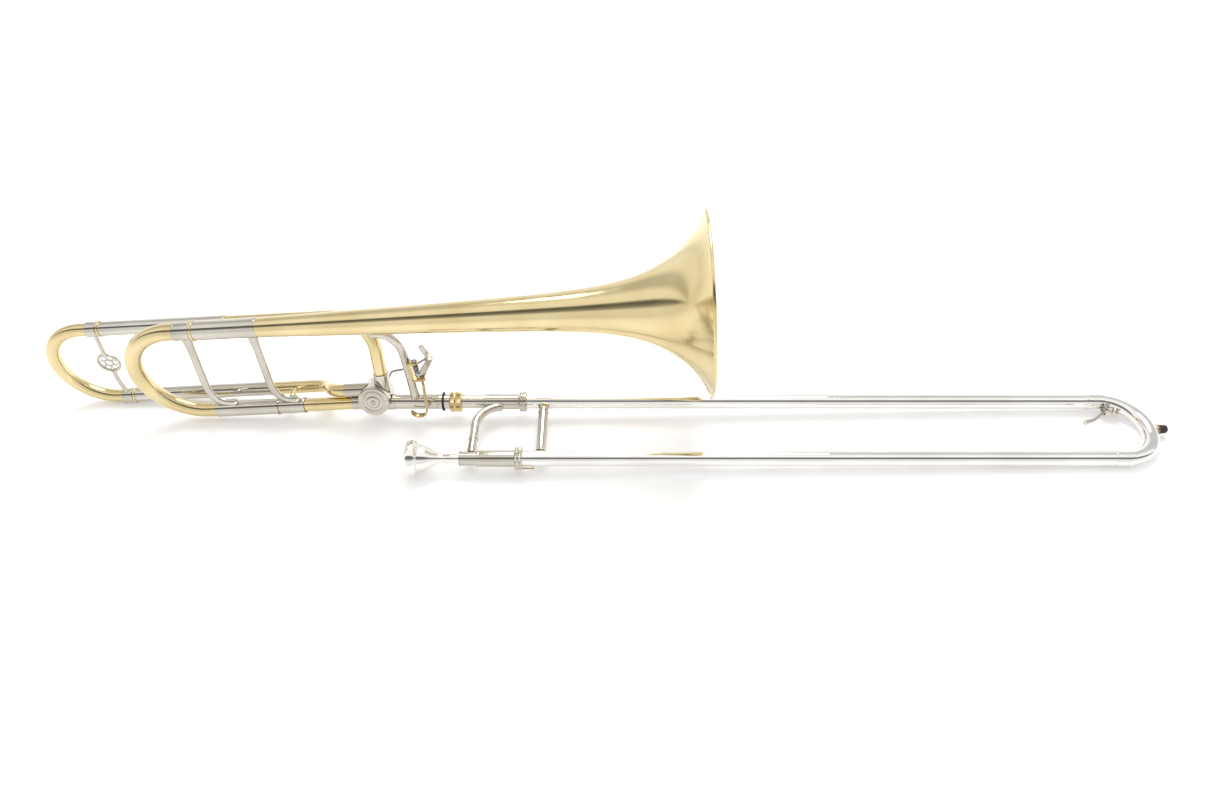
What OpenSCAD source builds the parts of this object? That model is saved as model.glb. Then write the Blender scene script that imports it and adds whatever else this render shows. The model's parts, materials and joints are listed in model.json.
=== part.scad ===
// Tenor trombone in B flat with an open-wrap F attachment, worked by a thumb valve.
// The bell plane stands at a right angle to the slide plane, and the instrument lies on its slide.
//
// Instrument frame, before it is laid down: the upper slide tube runs along X, with the bow end at +X.
// x = 0 is the joint between bell section and slide, at the front face of the lock nut.
// The lower slide tube lies beside it at y = -slide_spacing, at the same height.

/* [Hand slide] */
// Distance between the axes of the two slide tubes
slide_spacing = 82; // [78:0.5:88]
// Bore of the inner slide tubes (0.547 inch)
slide_bore = 13.9; // [13.6:0.1:14.0]
// Outside diameter of the outer slide tubes
outer_tube_d = 15.8; // [15.6:0.1:16.2]
// Where the outer tubes meet the slide bow
bow_x = 689; // [660:1:710]
// Outside diameter of the cork barrels
barrel_d = 17.0; // [16.8:0.1:18]
// Diameter of the hand brace
hand_brace_d = 10.6; // [9:0.2:12]

/* [Mouthpiece] */
// Outside diameter of the rim
rim_d = 38.6; // [36:0.2:40]
// Inside diameter of the cup at the rim
cup_d = 25.6; // [24:0.2:27]
// Length from the rim face to the end of the shank
mouthpiece_l = 82; // [78:1:86]

/* [Bell] */
// Diameter over the rim bead (7 3/8 inch)
bell_d = 187.3; // [185:0.1:220]
// Length from the rim to the bell tail
bell_l = 451.5; // [445:1:465]
// Radius where the bell tail enters its ferrule
bell_tail_r = 10; // [9.8:0.1:10.2]
// How far the tuning legs droop behind the valve, in degrees
tail_droop = 3.83; // [3.5:0.01:4.2]

/* [Tuning slides] */
// Distance between the two legs of the main tuning slide
main_width = 112.8; // [111:0.1:114]
// Middle of the main crook's bend, behind the valve
main_bend_x = -186.6; // [-190:0.1:-185]
// Distance between the two legs of the F tuning slide
f_width = 97.9; // [96:0.1:99]
// Height of the lower F leg over the lower main leg
f_low_z = -0.7; // [-2:0.1:1]
// How far the F legs lie behind the bell plane
f_depth = 30; // [29:0.5:31]
// Middle of the F crook's bend, behind the valve
f_bend_x = -299; // [-303:1:-299]

/* [Valve and lever] */
// Outside radius of the valve casing
casing_r = 16.4; // [16.2:0.1:17]
// Height of the rotor's axis over the main tube
rotor_z = 7.7; // [7.5:0.1:8]
// Length of the lever's drive arm, from the axle to the linkage pin
drive_arm = 24; // [23:0.5:25]
// Angle that the thumb lever travels, in degrees
lever_throw = 32; // [28:1:32]

/* [Hidden] */
$fn = 48;
eps = 0.01;
fit = 0.05;

// How it lies: it is tipped until mouthpiece, bow and F slide all touch the ground.
rest_roll = 2.09;
rest_pitch = 0.85;
rest_x = -150.2;
rest_y = 6.3;
rest_z = 21.7;

// Hand slide
inner_tube_d = 14.4;
outer_tube_bore = 15.0;
stocking_d = outer_tube_bore - 2 * 0.07;
stocking_l = 95;
bow_r = slide_spacing / 2;
barrel_x = 24;
barrel_end_x = 62;
barrel_bore = outer_tube_d + 0.6;
felt_x = 44;
felt_l = 5;
outer_start_x = felt_x + felt_l + 0.3;
hand_brace_x = 89;
inner_brace_x = 17.5;
inner_brace_d = 9.4;
inner_brace_bend = 27;
receiver_x = 6;
receiver_d = 14.3;

// Gooseneck and joint
valve_x = -92;
gooseneck_d = 16.4;
tenon_d = 14.5;
tenon_x = -22;
thread_d = 19;
nut_l = 13;
nut_d = 22.5;

// Bell flare: a cone for the tail and an exponential rise for the flare
bell_front_x = 357.3;
bead_r = 1.8;
wire_r = 1.2;
bell_wall = 0.6;
bell_taper = 0.0279;
flare_length = 39.3;
bead_circle_r = bell_d / 2 - bead_r;
flare_rise = bead_circle_r + 0.8 - bell_tail_r - bell_taper * bell_l;
flare_steps = 36;
bell_tail_x = bell_front_x - bell_l;

// Main tuning slide, in the tail frame
upper_leg_d = 19.9;
upper_leg_bore = 17.8;
crook_d = 16.6;
lower_leg_d = 16.8;
lower_leg_bore = 15.6;
ferrule_end_x = -162.5;
lower_leg_x = -110.7;
lower_leg_back_x = -178.5;
main_ferrule_d = 18.6;
tail_ferrule_d = 20.7;
fixed_ferrule_d = 16.6;
fixed_ferrule_x = -107.8;
fixed_ferrule_l = 28;
brace_d = 9;
brace_bend = 14;
brace_foot_l = 3;

// F tuning slide, in the tail frame
f_high_z = f_low_z + f_width;
f_leg_d = 15.4;
f_leg_bore = 14.4;
f_tube_d = 14.0;
f_upper_front_x = -142.5;
f_upper_back_x = -277.8;
f_lower_front_x = -125.5;
f_lower_back_x = -282.8;
f_upper_ferrule_x = -290.6;
f_lower_ferrule_x = -295.6;
f_ferrule_l = 11.4;
f_ferrule_d = 16.2;
f_port_z = 15.4;
f_top_x = 9;
f_top_z = 20;
f_top_bend = 40;
ornament_x = -290.6;
ornament_z = 49.5;
ornament_r = 11.4;

// Valve: it leans back, so that its top port points at the upper F leg
valve_lean = atan2(f_depth, f_high_z);
rotor_r = 14.95;
casing_bore_r = rotor_r + fit;
airway_r = 6.6;
f_airway_r = 5.2;
spindle_r = 3;
casing_front_y = -12;
casing_back_y = 13;
chamber_back_y = 10;
stop_turn = 90;
stop_r = drive_arm * sin(lever_throw / 2) / sin(stop_turn / 2);
stop_y = 16;
stop_h = 3.4;
bumper_angle = 82;
bumper_r = 2.5;

// Front bell brace and lever: the axle stands parallel to the brace
front_brace_x = 42.5;
front_brace_bend = 22;
axle_x = 53;
axle_y = -2;
axle_r = 1.5;
axle_z = 31;
axle_h = 27;
hub_z = 36;
hub_h = 10;
pin_x = axle_x + drive_arm * sin(lever_throw / 2);
pin_y = axle_y + drive_arm * cos(lever_throw / 2);
link_z = hub_z + 3.8;
stud_x = stop_r * sin(stop_turn / 2);
stud_z = rotor_z + stop_r * cos(stop_turn / 2);
stud_rise = stop_r * (1 - cos(stop_turn / 2));

// Water key: angles are measured round the bow's centre, from the upper tube
key_seat_angle = 33;
key_pivot_angle = 14;
key_inner_r = bow_r - outer_tube_d / 2;
key_pivot_r = key_inner_r - 4.4;
key_pivot = [bow_x + key_pivot_r * sin(key_pivot_angle), key_pivot_r * cos(key_pivot_angle) - bow_r];

brass = "#dcc488";
raw_brass = "#c9a24a";
nickel = "#c8c2b4";
chrome = "#d9dbdd";
silver = "#ececec";
steel = "#9a9a9a";
black = "#202020";

// ---- Frames ----

// Lays the instrument frame on the ground.
module lay() {
    translate([rest_x, rest_y, rest_z])
    rotate([rest_roll, rest_pitch, 0])
    children();
}

// The lower slide tube's axis.
module lower_line() {
    lay() translate([0, -slide_spacing, 0]) children();
}

// The bell plane, from the valve: z is up in the bell plane and y points behind it.
module bell_frame() {
    lay() translate([valve_x, 0, 0]) children();
}

// The tuning legs and the bell's axis, which droop towards the rear.
module tail_frame() {
    bell_frame() rotate([0, -tail_droop, 0]) children();
}

// The valve leans back about the lower main leg.
module valve_frame() {
    tail_frame() rotate([-valve_lean, 0, 0]) children();
}

// ---- Shapes ----

module rod_x(x0, x1, d) {
    translate([x0, 0, 0]) rotate([0, 90, 0]) cylinder(h = x1 - x0, d = d);
}

module tube_x(x0, x1, d, bore) {
    difference() {
        rod_x(x0, x1, d);
        rod_x(x0 - 1, x1 + 1, bore);
    }
}

// A solid turned about the X axis, from [x, radius] points.
module turned_x(points) {
    rotate([0, 90, 0]) rotate_extrude() polygon([for (p = points) [p[1], p[0]]]);
}

// A tube bent in the x-z plane. It starts at the origin along +x and turns towards +z.
module bend_up(bend_r, angle, d, bore) {
    translate([0, 0, bend_r])
    rotate([90, 0, 0])
    rotate([0, 0, -90])
    rotate_extrude(angle = angle)
    translate([bend_r, 0])
    difference() {
        circle(d = d);
        if (bore > 0) circle(d = bore);
    }
}

// A straight round rod between two points.
module rod(a, b, r) {
    step = b - a;
    translate(a)
    rotate([0, acos(step[2] / norm(step)), atan2(step[1], step[0])])
    cylinder(h = norm(step), r = r);
}

// A round rod through the points of a path, with rounded corners.
module rod_path(points, r) {
    for (i = [0 : len(points) - 2]) rod(points[i], points[i + 1], r);
    for (p = points) translate(p) sphere(r = 1.03 * r);
}

// A half-round bead ring about the X axis.
module bead_x(x, bead, d) {
    translate([x, 0, 0]) rotate([0, 90, 0]) rotate_extrude() translate([d / 2, 0]) circle(r = bead);
}

// A straight strut in the x-z plane that turns into a foot lying along a tube. It ends at the foot's tip.
module curved_strut(top, foot_z, bend_r, foot_l, d, forwards) {
    mirror([forwards ? 0 : 1, 0, 0]) {
        translate([bend_r, 0, foot_z]) rod_x(0, foot_l, d);
        translate([bend_r, 0, foot_z]) mirror([1, 0, 0]) bend_up(bend_r, 90, d, 0);
        translate([0, 0, foot_z + bend_r]) cylinder(h = top - foot_z - bend_r, d = d);
        translate([bend_r + foot_l, 0, foot_z]) sphere(d = d);
    }
}

// A cylinder on the rotor's axis.
module valve_disc(y0, y1, r) {
    translate([0, y0, rotor_z]) rotate([-90, 0, 0]) cylinder(h = y1 - y0, r = r);
}

// ---- Bell ----

function bell_r(s) = bell_tail_r + bell_taper * (bell_l - s) + flare_rise * exp(-s / flare_length);
function bell_slope(s) = bell_taper + flare_rise / flare_length * exp(-s / flare_length);
function bell_inner_r(s) = bell_r(s) - bell_wall * sqrt(1 + bell_slope(s) * bell_slope(s));
function flare_station(i) = bead_r / 2 + (bell_l + 4) * pow(i / flare_steps, 1.6);

module bell_axis() {
    tail_frame() translate([0, 0, main_width]) children();
}

module rim_circle(r) {
    translate([bell_front_x - bead_r / 2, 0, 0])
    rotate([0, 90, 0])
    rotate_extrude($fn = 96)
    translate([bead_circle_r, 0])
    circle(r = r);
}

module bell() {
    stations = [for (i = [0 : flare_steps]) flare_station(i)];
    outside = [for (s = stations) [bell_front_x - s, bell_r(s)]];
    inside = [for (i = [flare_steps : -1 : 0]) [bell_front_x - stations[i], bell_inner_r(stations[i])]];
    color(brass)
    bell_axis()
    difference() {
        union() {
            rotate([0, 90, 0])
            rotate_extrude($fn = 96)
            polygon([for (p = concat(outside, inside)) [p[1], p[0]]]);
            rim_circle(bead_r);
        }
        rim_circle(wire_r);
    }
}

module bell_rim_wire() {
    color(raw_brass) bell_axis() rim_circle(wire_r - fit);
}

module bell_tail_ferrule() {
    color(nickel)
    bell_axis()
    tube_x(bell_tail_x - 19, bell_tail_x, tail_ferrule_d, tail_ferrule_d - 0.7);
}

// ---- Main tuning slide ----

module upper_outer_leg() {
    color(nickel) bell_axis() tube_x(ferrule_end_x + 2, bell_tail_x - 13, upper_leg_d, upper_leg_bore);
}

// The thin rings that finish the open ends of the three fixed outer legs.
module leg_end_rings() {
    color(brass) {
        bell_axis() end_ring(ferrule_end_x + 2, upper_leg_d);
        tail_frame() translate([0, f_depth, f_high_z]) end_ring(f_upper_back_x, f_leg_d);
        tail_frame() translate([0, f_depth, f_low_z]) end_ring(f_lower_back_x, f_leg_d);
    }
}

module end_ring(x, leg_d) {
    tube_x(x - 0.4, x + 1.8, leg_d + 1.8, leg_d + 0.04);
}

module lower_inner_leg() {
    color(nickel) tail_frame() tube_x(-176, -86, lower_leg_bore - 2 * fit, 14.7);
}

module lower_leg_ferrule() {
    color(nickel)
    tail_frame()
    tube_x(fixed_ferrule_x, fixed_ferrule_x + fixed_ferrule_l, fixed_ferrule_d, lower_leg_bore);
}

module lower_leg_tube() {
    color(brass) tail_frame() tube_x(-92, -25, 14.4, slide_bore - 0.6);
}

// Braces are cut to sit on their tubes.
module tuning_brace(x, upper_d, lower_d) {
    foot_z = lower_d / 2 + brace_d / 2 - 4;
    difference() {
        translate([x, 0, 0]) curved_strut(main_width - 7, foot_z, brace_bend, brace_foot_l, brace_d, true);
        translate([0, 0, main_width]) rod_x(x - 60, x + 60, upper_d + 0.04);
        rod_x(x - 60, x + 80, lower_d + 0.04);
    }
}

module fixed_tuning_brace() {
    color(nickel) tail_frame() tuning_brace(-106, tail_ferrule_d, fixed_ferrule_d);
}

module sliding_tuning_brace() {
    color(nickel) tail_frame() tuning_brace(-175, main_ferrule_d, lower_leg_d);
}

module main_crook() {
    color(brass)
    tail_frame() {
        translate([main_bend_x, 0, 0]) tube_x(0, lower_leg_back_x - main_bend_x, crook_d, crook_d - 1.2);
        translate([main_bend_x, 0, 0])
        mirror([1, 0, 0])
        bend_up(main_width / 2, 180, crook_d, crook_d - 1.2);
        translate([main_bend_x, 0, main_width]) tube_x(0, 9, crook_d, crook_d - 1.2);
    }
}

module crook_ferrule() {
    color(nickel) bell_axis() tube_x(ferrule_end_x - 17.8, ferrule_end_x, main_ferrule_d, upper_leg_bore);
}

module upper_inner_leg() {
    color(nickel) bell_axis() tube_x(main_bend_x + 9.2, -119, upper_leg_bore - 2 * fit, 16.6);
}

module lower_outer_leg() {
    color(nickel)
    tail_frame()
    difference() {
        union() {
            rod_x(lower_leg_back_x + 0.1, lower_leg_x + 1.4, lower_leg_d);
            rod_x(lower_leg_x - 0.4, lower_leg_x + 1.8, lower_leg_d + 1.8);
        }
        rod_x(lower_leg_back_x - 1, lower_leg_x + 3, lower_leg_bore);
    }
}

// ---- F attachment ----

module f_line(z) {
    tail_frame() translate([0, f_depth, z]) children();
}

// The tube that leaves the top port rises behind the bell tail and turns to the rear.
module top_port_frame() {
    valve_frame() translate([f_top_x, 0, f_top_z]) children();
}

module f_upper_tube() {
    rise = norm([f_depth, f_high_z]) - f_top_z - f_top_bend;
    color(brass) {
        top_port_frame() {
            translate([0, 0, 12]) difference() {
                cylinder(h = rise - 12, d = f_tube_d);
                translate([0, 0, -1]) cylinder(h = rise, d = f_tube_d - 1.2);
            }
            translate([-f_top_bend, 0, rise])
            rotate([90, 0, 0])
            rotate_extrude(angle = 90)
            translate([f_top_bend, 0])
            difference() {
                circle(d = f_tube_d);
                circle(d = f_tube_d - 1.2);
            }
        }
        f_line(f_high_z)
        tube_x(f_upper_front_x - 6, f_top_x - f_top_bend - 2 * eps, f_tube_d, f_tube_d - 1.2);
    }
}

module f_upper_outer_leg() {
    color(nickel) f_line(f_high_z) tube_x(f_upper_back_x, f_upper_front_x, f_leg_d, f_leg_bore);
}

module f_lower_outer_leg() {
    color(nickel) f_line(f_low_z) tube_x(f_lower_back_x, f_lower_front_x, f_leg_d, f_leg_bore);
}

// The tube from the rear port steps sideways to the F legs in two equal bends.
module f_lower_tube() {
    start_x = -32;
    start_y = f_port_z * sin(valve_lean);
    start_z = f_port_z * cos(valve_lean);
    joint_gap = 0.1;
    step = norm([f_depth - start_y, start_z - f_low_z]);
    roll = -atan2(start_z - f_low_z, f_depth - start_y);
    bend = 24;
    turn = acos(1 - step / (2 * bend));
    half_l = bend * sin(turn);
    color(brass) {
        tail_frame()
        translate([start_x, start_y, start_z])
        rotate([roll - 90, 0, 0]) {
            mirror([1, 0, 0]) bend_up(bend, turn - joint_gap, f_tube_d, f_tube_d - 1.2);
            translate([-2 * half_l, 0, step])
            mirror([0, 0, 1])
            bend_up(bend, turn - joint_gap, f_tube_d, f_tube_d - 1.2);
        }
        f_line(f_low_z)
        tube_x(f_lower_front_x - 6, start_x - 2 * half_l - 2 * eps, f_tube_d, f_tube_d - 1.2);
    }
}

// A short post with a ball between the F leg and the main lower leg.
module f_loop_stay() {
    length = norm([f_depth, f_low_z]);
    color(brass)
    tail_frame()
    difference() {
        translate([-99, 0, 0])
        rotate([-90 + atan2(f_low_z, f_depth), 0, 0]) {
            cylinder(h = length, d = 3.4);
            translate([0, 0, length / 2 + 1]) sphere(d = 6.6);
            translate([0, 0, fixed_ferrule_d / 2 - 1]) cylinder(h = 2.2, d = 7);
            translate([0, 0, length - f_tube_d / 2 - 1.2]) cylinder(h = 2.2, d = 7);
        }
        rod_x(-120, -70, fixed_ferrule_d + 0.04);
        translate([0, f_depth, f_low_z]) rod_x(-120, -70, f_tube_d + 0.04);
    }
}

module f_crook() {
    color(brass)
    f_line(f_low_z) {
        translate([f_bend_x, 0, 0]) tube_x(0, f_lower_ferrule_x + 3 - f_bend_x, f_tube_d, f_tube_d - 1.2);
        translate([f_bend_x, 0, 0]) mirror([1, 0, 0]) bend_up(f_width / 2, 180, f_tube_d, f_tube_d - 1.2);
        translate([f_bend_x, 0, f_width])
        tube_x(0, f_upper_ferrule_x + 3 - f_bend_x, f_tube_d, f_tube_d - 1.2);
    }
}

module f_crook_ferrules() {
    color(nickel) {
        f_line(f_high_z)
        tube_x(f_upper_ferrule_x, f_upper_ferrule_x + f_ferrule_l, f_ferrule_d, f_leg_bore);
        f_line(f_low_z)
        tube_x(f_lower_ferrule_x, f_lower_ferrule_x + f_ferrule_l, f_ferrule_d, f_leg_bore);
    }
}

module f_inner_legs() {
    inner_d = f_leg_bore - 2 * fit;
    color(nickel) {
        f_line(f_high_z) tube_x(f_upper_ferrule_x + 3.2, f_upper_front_x - 8, inner_d, inner_d - 0.9);
        f_line(f_low_z) tube_x(f_lower_ferrule_x + 3.2, f_lower_front_x - 8, inner_d, inner_d - 0.9);
    }
}

// The brace carries a plain open rosette.
module f_slide_brace() {
    strut_r = 2.3;
    knee = [-292, 0, 24];
    color(nickel)
    tail_frame()
    translate([0, f_depth, 0])
    difference() {
        union() {
            rod([-286.5, 0, f_high_z - 4], [ornament_x, 0, ornament_z + ornament_r], strut_r);
            rod([ornament_x, 0, ornament_z - ornament_r], knee, strut_r);
            rod(knee, [-291, 0, f_low_z + 5], strut_r);
            translate(knee) sphere(r = 1.06 * strut_r);
            translate([ornament_x, 0, ornament_z]) rotate([90, 0, 0]) rosette();
        }
        translate([0, 0, f_high_z]) rod_x(-330, -280, f_ferrule_d + 0.04);
        translate([0, 0, f_low_z]) rod_x(-330, -260, f_ferrule_d + 0.04);
    }
}

module rosette() {
    hub_r = 4;
    rotate_extrude() translate([ornament_r, 0]) circle(r = 1.8);
    difference() {
        cylinder(h = 1.6, r = hub_r + 0.8, center = true);
        cylinder(h = 3, r = hub_r - 0.8, center = true);
    }
    for (a = [0 : 60 : 300])
        rotate([0, 0, a])
        translate([hub_r, 0, 0])
        rotate([0, 90, 0])
        cylinder(h = ornament_r - hub_r, r = 0.7);
}

// ---- Valve ----

module valve_casing() {
    color(nickel)
    valve_frame()
    difference() {
        valve_disc(casing_front_y, casing_back_y, casing_r);
        valve_disc(casing_front_y - 1, chamber_back_y, casing_bore_r);
        valve_disc(chamber_back_y - 1, casing_back_y + 1, spindle_r + fit);
        rod_x(-30, 0, 2 * airway_r);
        rotate([valve_lean, 0, 0]) rotate([0, tail_droop, 0]) rod_x(0, 30, 2 * airway_r);
        translate([0, 0, f_port_z]) rod_x(-30, -5, 2 * f_airway_r);
        translate([f_top_x, 0, rotor_z]) cylinder(h = 30, r = f_airway_r);
    }
}

// Port tubes start at the casing wall.
module valve_knuckles() {
    color(nickel)
    difference() {
        union() {
            bell_frame() rod_x(5, 19, 17.6);
            tail_frame() rod_x(-27, -5, 15.6);
            valve_frame() translate([0, 0, f_port_z]) rod_x(-33.5, -5, 15.0);
            top_port_frame() translate([0, 0, -8]) cylinder(h = 22, d = 16.8);
        }
        valve_frame() valve_disc(-20, 20, casing_r + 0.02);
        bell_frame() rod_x(0, 20, slide_bore);
        bell_frame() rod_x(17, 20, gooseneck_d + 0.04);
        tail_frame() rod_x(-30, 0, slide_bore - 0.6);
        tail_frame() rod_x(-30, -24, 14.44);
        valve_frame() translate([0, 0, f_port_z]) rod_x(-40, 0, f_tube_d - 1.2);
        valve_frame() translate([0, 0, f_port_z]) rod_x(-40, -31, f_tube_d + 0.04);
        top_port_frame() translate([0, 0, -9]) cylinder(h = 30, d = f_tube_d - 1.2);
        top_port_frame() translate([0, 0, 11]) cylinder(h = 30, d = f_tube_d + 0.04);
    }
}

module valve_cap() {
    color(nickel)
    valve_frame()
    translate([0, casing_front_y - 0.05, rotor_z])
    rotate([90, 0, 0])
    difference() {
        rotate_extrude()
        polygon([[0, 0], [casing_r, 0], [casing_r + 0.4, 0.6], [casing_r + 0.4, 2.4], [casing_r - 0.8, 3.4],
                 [12, 3.8], [11.4, 3.2], [7, 3.2], [6.4, 4.4], [2.6, 4.8], [0, 4.8]]);
        translate([0, 0, 4.2]) cylinder(h = 2, r = 1.6);
    }
}

module valve_bearing_plate() {
    color(nickel)
    valve_frame()
    difference() {
        valve_disc(casing_front_y, -10.1, rotor_r);
        valve_disc(-13, -10, spindle_r + fit);
    }
}

module stop_plate() {
    color(nickel)
    valve_frame()
    difference() {
        valve_disc(casing_back_y + 0.02, casing_back_y + 1.4, 12.6);
        valve_disc(casing_back_y - 1, casing_back_y + 2, spindle_r + 1);
    }
}

module stop_bumpers() {
    color(black)
    valve_frame()
    for (side = [-1, 1])
        translate([side * stop_r * sin(bumper_angle), 0, stop_r * cos(bumper_angle)])
        valve_disc(casing_back_y + 1.42, casing_back_y + 5.82, bumper_r);
}

// At rest the rotor leaves the main tube straight and joins the two F ports to each other.
module rotor() {
    color(raw_brass)
    valve_frame()
    difference() {
        union() {
            valve_disc(-9.9, 9.9, rotor_r);
            valve_disc(casing_front_y + 0.1, stop_y + stop_h, spindle_r);
        }
        rod_x(-30, 0, 2 * airway_r);
        rod_x(-1, 30, 2 * airway_r);
        translate([0, 0, f_port_z]) rod_x(-30, f_top_x, 2 * f_airway_r);
        translate([f_top_x, 0, f_port_z]) sphere(r = f_airway_r);
        translate([f_top_x, 0, f_port_z]) cylinder(h = 30, r = f_airway_r);
    }
}

module stop_arm() {
    color(nickel)
    valve_frame()
    translate([0, stop_y, rotor_z])
    rotate([-90, 0, 0])
    rotate([0, 0, -stop_turn / 2]) {
        difference() {
            union() {
                cylinder(h = stop_h, r = 5);
                translate([0, -2.5, 0]) cube([stop_r, 5, stop_h]);
                translate([stop_r, 0, 0]) cylinder(h = stop_h, r = 2.5);
            }
            translate([0, 0, -1]) cylinder(h = stop_h + 2, r = spindle_r + 0.02);
        }
        translate([0, 0, stop_h + 0.02]) cylinder(h = 1.2, r = 3.2);
        translate([stop_r, 0, stop_h - eps]) cylinder(h = 4.2, r = 1.5);
        translate([stop_r, 0, stop_h + 4.1]) cylinder(h = 1, r = 2.4);
    }
}

// ---- Gooseneck and joint ----

module gooseneck() {
    color(nickel) lay() tube_x(valve_x + 17.2, -26.2, gooseneck_d, slide_bore);
}

module bell_receiver() {
    color(nickel)
    lay()
    difference() {
        union() {
            rod_x(-26.1, -3, gooseneck_d);
            rod_x(-nut_l + 0.4, -3.2, thread_d);
        }
        rod_x(-27, -tenon_x, tenon_d + 2 * fit);
    }
}

module receiver_o_ring() {
    color(black) lay() bead_x(-20.2, 1.1, gooseneck_d + 1.1 * 2 + 0.04);
}

module lock_nut() {
    color(raw_brass)
    lay()
    difference() {
        turned_x([[-nut_l, 0], [-nut_l, nut_d / 2 - 1], [-nut_l + 1, nut_d / 2], [-8, nut_d / 2],
                  [-7.5, nut_d / 2 - 0.4], [-6.5, nut_d / 2 - 0.4], [-6, nut_d / 2], [-1, nut_d / 2],
                  [0, nut_d / 2 - 1], [0, 0]]);
        rod_x(-nut_l - 1, -2.6, thread_d + 0.2);
        rod_x(-3, 1, tenon_d + 0.3);
    }
}

// ---- Front bell brace and lever ----

module front_bell_brace() {
    bell_bottom = main_width - bell_r(bell_front_x - front_brace_x + front_brace_bend);
    top_z = bell_bottom - 1;
    color(nickel)
    tail_frame()
    difference() {
        translate([front_brace_x, 0, 0])
        mirror([0, 0, 1])
        translate([0, 0, -top_z])
        curved_strut(top_z - 2, 0, front_brace_bend, 4, brace_d, false);
        rotate([0, tail_droop, 0]) rod_x(20, 70, gooseneck_d + 0.04);
        translate([0, 0, main_width])
        turned_x([[0, 0], [0, bell_r(bell_front_x) + eps], [60, bell_r(bell_front_x - 60) + eps], [60, 0]]);
    }
}

module lever_saddle() {
    color(raw_brass)
    tail_frame() {
        difference() {
            union() {
                translate([front_brace_x + 2.4, -5, axle_z]) cube([3.2, 9, axle_h]);
                for (z = [axle_z, axle_z + axle_h - 3.4]) {
                    translate([axle_x, axle_y, z]) cylinder(h = 3.4, r = 3.3);
                    translate([front_brace_x + 4, axle_y - 3.3, z])
                    cube([axle_x - front_brace_x - 4, 6.6, 3.4]);
                }
            }
            translate([front_brace_x, 0, 0]) cylinder(h = 60, d = brace_d + 0.04);
            translate([axle_x, axle_y, 0]) cylinder(h = 60, r = axle_r + 0.02);
        }
    }
}

module lever_axle() {
    color(steel)
    tail_frame()
    translate([axle_x, axle_y, axle_z - 0.8]) {
        cylinder(h = axle_h + 1.2, r = axle_r);
        translate([0, 0, axle_h + 0.82]) cylinder(h = 1.2, r = 2.4);
    }
}

// Closed turns of the return spring, above the hub.
module lever_spring() {
    color(steel)
    tail_frame()
    translate([axle_x, axle_y, hub_z + hub_h + 1])
    for (i = [0 : 3])
        translate([0, 0, i * 1.3]) rotate_extrude() translate([2.6, 0]) circle(r = 0.6, $fn = 16);
}

module thumb_lever() {
    color(nickel)
    tail_frame()
    difference() {
        union() {
            translate([axle_x, axle_y, hub_z]) cylinder(h = hub_h, r = 3);
            drive_arm_shape();
            thumb_blade();
            thumb_rest();
        }
        translate([axle_x, axle_y, 0]) cylinder(h = 60, r = axle_r + fit);
    }
}

module drive_arm_shape() {
    translate([axle_x, axle_y, hub_z])
    rotate([0, 0, 90 - lever_throw / 2]) {
        translate([0, -1.6, 0]) cube([drive_arm, 3.2, 2]);
        translate([drive_arm, 0, 0]) cylinder(h = 2, r = 3);
        translate([drive_arm, 0, 0]) cylinder(h = 6.2, r = 1.5);
        translate([drive_arm, 0, 5.8]) cylinder(h = 1, r = 2.3);
    }
}

// The upper blade is a flat strip with one bend.
module thumb_blade() {
    translate([0, axle_y - 2.8, 0])
    rotate([90, 0, 0])
    linear_extrude(height = 2)
    translate([axle_x, hub_z])
    polygon([[0, 2.5], [6, 1], [22, 28.5], [15.5, 48], [9, 45.5], [15, 28.5], [5, 9], [0, 9]]);
}

// The lower arm passes in front of the gooseneck and ends in a curved thumb rest.
module thumb_rest() {
    pad_y = axle_y - 14;
    rod_path([[axle_x + 1, axle_y - 2, 38.5], [58, -10, 38], [59.5, pad_y, 32], [56.3, pad_y, 2]], 1.5);
    translate([47.5, pad_y + 3.5, 0.5])
    rotate([90, 0, 0])
    rotate([0, 0, -165])
    rotate_extrude_strip(8.7, 165, 7);
}

// An arc of flat strip: mean radius, angle and width.
module rotate_extrude_strip(mean_r, angle, width) {
    rotate_extrude(angle = angle) translate([mean_r - 0.8, 0]) square([1.6, width]);
}

// The rod keeps its direction while the drive arm swings. Its slotted eye lets the stud rise and fall.
module linkage_rod() {
    eye_z = stud_z + stud_rise / 2;
    rod_end = [
        stud_x + 3.6,
        pin_y * cos(valve_lean) + eye_z * sin(valve_lean),
        eye_z * cos(valve_lean) - pin_y * sin(valve_lean),
    ];
    color(steel) {
        tail_frame()
        difference() {
            union() {
                rod_path([[pin_x - 2, pin_y, link_z], [34, pin_y, 27.5], [17, pin_y, 24], rod_end], 1.1);
                translate([pin_x, pin_y, link_z - 1.5]) cylinder(h = 2.9, r = 3.4);
                rotate([-valve_lean, 0, 0]) link_eye(eye_z, 1.8, 3.8);
            }
            translate([pin_x, pin_y, 0]) cylinder(h = 60, r = 1.5 + fit);
            rotate([-valve_lean, 0, 0]) link_eye(eye_z, 8, 1.9);
        }
    }
}

// A plate with round ends, as long as the stud's rise and fall.
module link_eye(middle_z, thickness, r) {
    half_l = stud_rise / 2 + 0.4;
    translate([stud_x, pin_y, middle_z]) {
        for (z = [-half_l, half_l])
            translate([0, thickness / 2, z]) rotate([90, 0, 0]) cylinder(h = thickness, r = r);
        translate([-r, -thickness / 2, -half_l]) cube([2 * r, thickness, 2 * half_l]);
    }
}

// ---- Inner slide ----

module slide_tenon() {
    color(nickel) lay() tube_x(tenon_x, barrel_x - 0.2, tenon_d, slide_bore - 0.2);
}

module inner_tube(end_x) {
    difference() {
        union() {
            rod_x(barrel_x, end_x, inner_tube_d);
            rod_x(end_x - stocking_l, end_x - 1, stocking_d);
        }
        rod_x(barrel_x - 1, end_x + 1, slide_bore);
    }
}

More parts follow.
